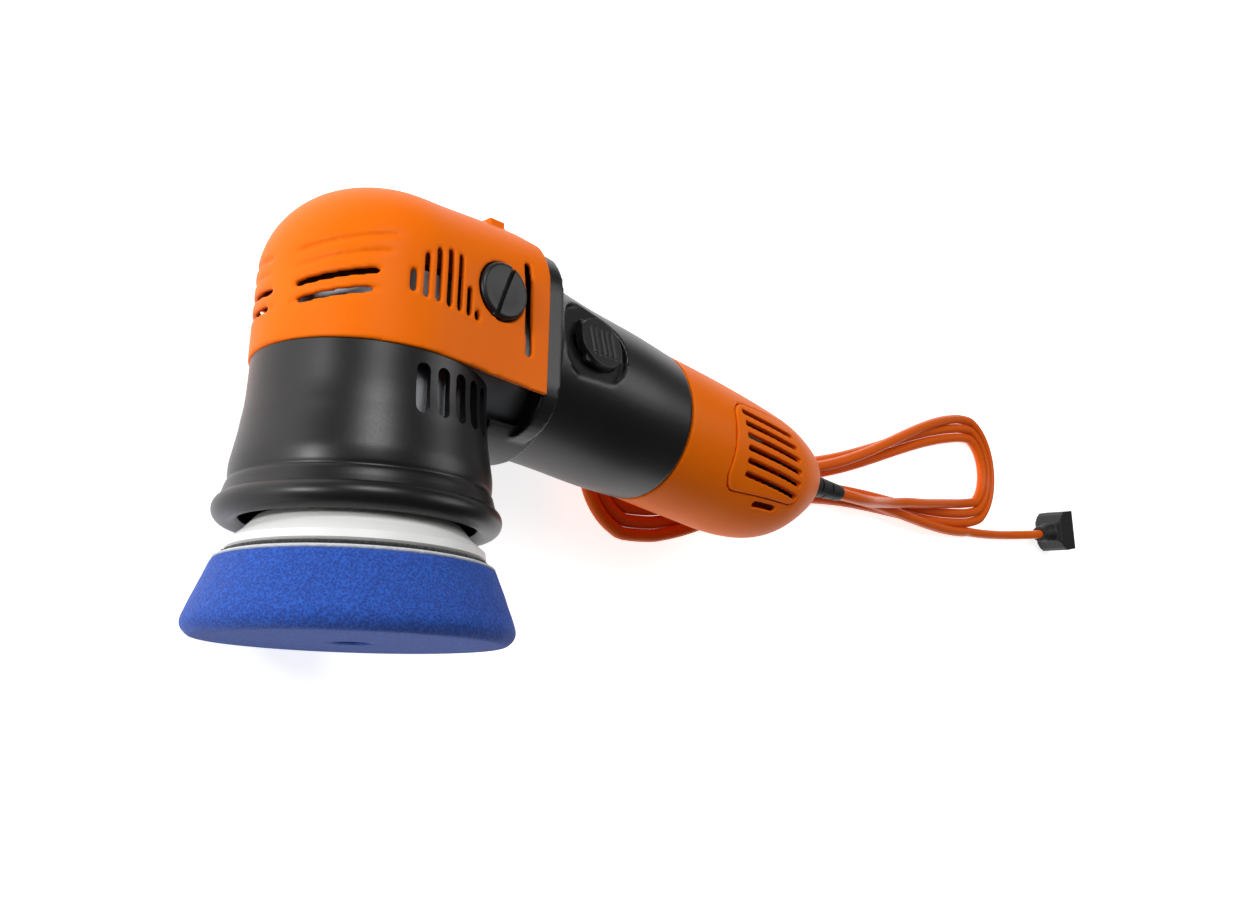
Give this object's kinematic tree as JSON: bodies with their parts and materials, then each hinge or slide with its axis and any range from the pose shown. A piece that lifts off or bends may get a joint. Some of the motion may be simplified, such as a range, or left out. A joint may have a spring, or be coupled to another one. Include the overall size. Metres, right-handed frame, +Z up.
{
  "type": "dual action polisher",
  "caption": "Hand-held dual action polisher lying on its side: round foam pad on an eccentric plate, bell shroud, vented gear head, barrel motor, slide switch and hanked mains lead.",
  "frame": {"origin": "middle of the tool without its cord, on the surface it lies on", "axes": "+X from the head to the tail, +Y from the pad face to the top of the head (turned down by the lean of the tool), +Z up, which is the left side of the tool"},
  "size_m": [1.04, 0.2818, 0.1517],
  "materials": {
    "orange_shell": "satin moulded plastic",
    "black_shell": "satin moulded plastic",
    "black_trim": "fine moulded plastic",
    "white_plate": "smooth moulded plastic",
    "foam": "open cell foam",
    "loop_cloth": "brushed loop cloth",
    "hook_cloth": "nylon hooks",
    "steel": "turned steel",
    "bearing_steel": "ground",
    "gear_steel": "hardened, oiled",
    "cast_alloy": "die cast",
    "lamination": "stacked sheet",
    "copper": "enamelled wire",
    "brush_brass": "pressed",
    "carbon": "pressed carbon",
    "green_board": "circuit board in resin",
    "cord_jacket": "smooth PVC",
    "plug_rubber": "moulded",
    "pin_metal": "nickel plated"
  },
  "bodies": {
    "tool": {"spindle_bearing_lower": "bearing_steel", "spindle_bearing_upper": "bearing_steel", "bearing_flange": "cast_alloy", "bearing_retainer": "steel", "flange_screws": "steel", "shroud": "black_shell", "shroud_screws": "steel", "gear_case": "cast_alloy", "motor_flange": "cast_alloy", "head_cover": "orange_shell", "head_cap_left": "black_trim", "head_cap_right": "black_trim", "front_bearing": "bearing_steel", "rear_bearing": "bearing_steel", "field_core": "lamination", "field_coils": "copper", "air_baffle": "black_trim", "brush_holders": "brush_brass", "brushes": "carbon", "brush_springs": "steel", "motor_housing": "black_shell", "rear_housing": "orange_shell", "tail_ring": "black_trim", "brush_cover_left": "orange_shell", "brush_cover_right": "orange_shell", "housing_screws": "steel", "switch_module": "black_trim", "speed_module": "green_board", "strain_relief": "plug_rubber", "cord_clamp": "black_trim", "cord_lead": "cord_jacket", "cord_hank": "cord_jacket", "cord_tail": "cord_jacket", "hank_tie": "black_trim", "plug_body": "plug_rubber", "plug_pins": "pin_metal"},
    "armature": {"armature_shaft": "steel", "pinion": "gear_steel", "armature_core": "lamination", "armature_windings": "copper", "commutator": "copper", "fan": "black_trim"},
    "spindle_group": {"spindle": "steel", "ring_gear": "gear_steel", "counterweight": "gear_steel", "arbor_bearing_lower": "bearing_steel", "arbor_bearing_upper": "bearing_steel"},
    "pad_group": {"arbor": "steel", "plate_bolt": "steel", "backing_plate": "white_plate", "hook_disc": "hook_cloth", "pad_loop": "loop_cloth", "foam_pad": "foam"},
    "switch": {"switch_slider": "black_trim", "switch_rod": "black_trim"},
    "dial": {"speed_dial": "black_trim"}
  },
  "joints": [
    {"name": "armature_spin", "type": "hinge", "parent": "tool", "child": "armature", "pos_m": [-0.04263, 0.04067, 0.0604], "axis": [1, 0, 0], "continuous": true},
    {"name": "spindle_spin", "type": "hinge", "parent": "tool", "child": "spindle_group", "pos_m": [-0.14263, 0.00073, 0.06263], "axis": [0, 0.9984, -0.0558], "continuous": true},
    {"name": "pad_spin", "type": "hinge", "parent": "spindle_group", "child": "pad_group", "pos_m": [-0.14638, -0.03884, 0.07135], "axis": [0, 0.9984, -0.0558], "continuous": true},
    {"name": "switch_slide", "type": "slide", "parent": "tool", "child": "switch", "axis": [-1, 0, 0], "range_m": [0, 0.006]},
    {"name": "speed_dial_turn", "type": "hinge", "parent": "tool", "child": "dial", "pos_m": [0.15737, 0.05432, 0.04164], "axis": [0, 0.5906, 0.807], "range_deg": [0, 250]}
  ],
  "couplings": [
    {"joint": "spindle_spin", "follows": "armature_spin", "ratio": 0.25}
  ]
}
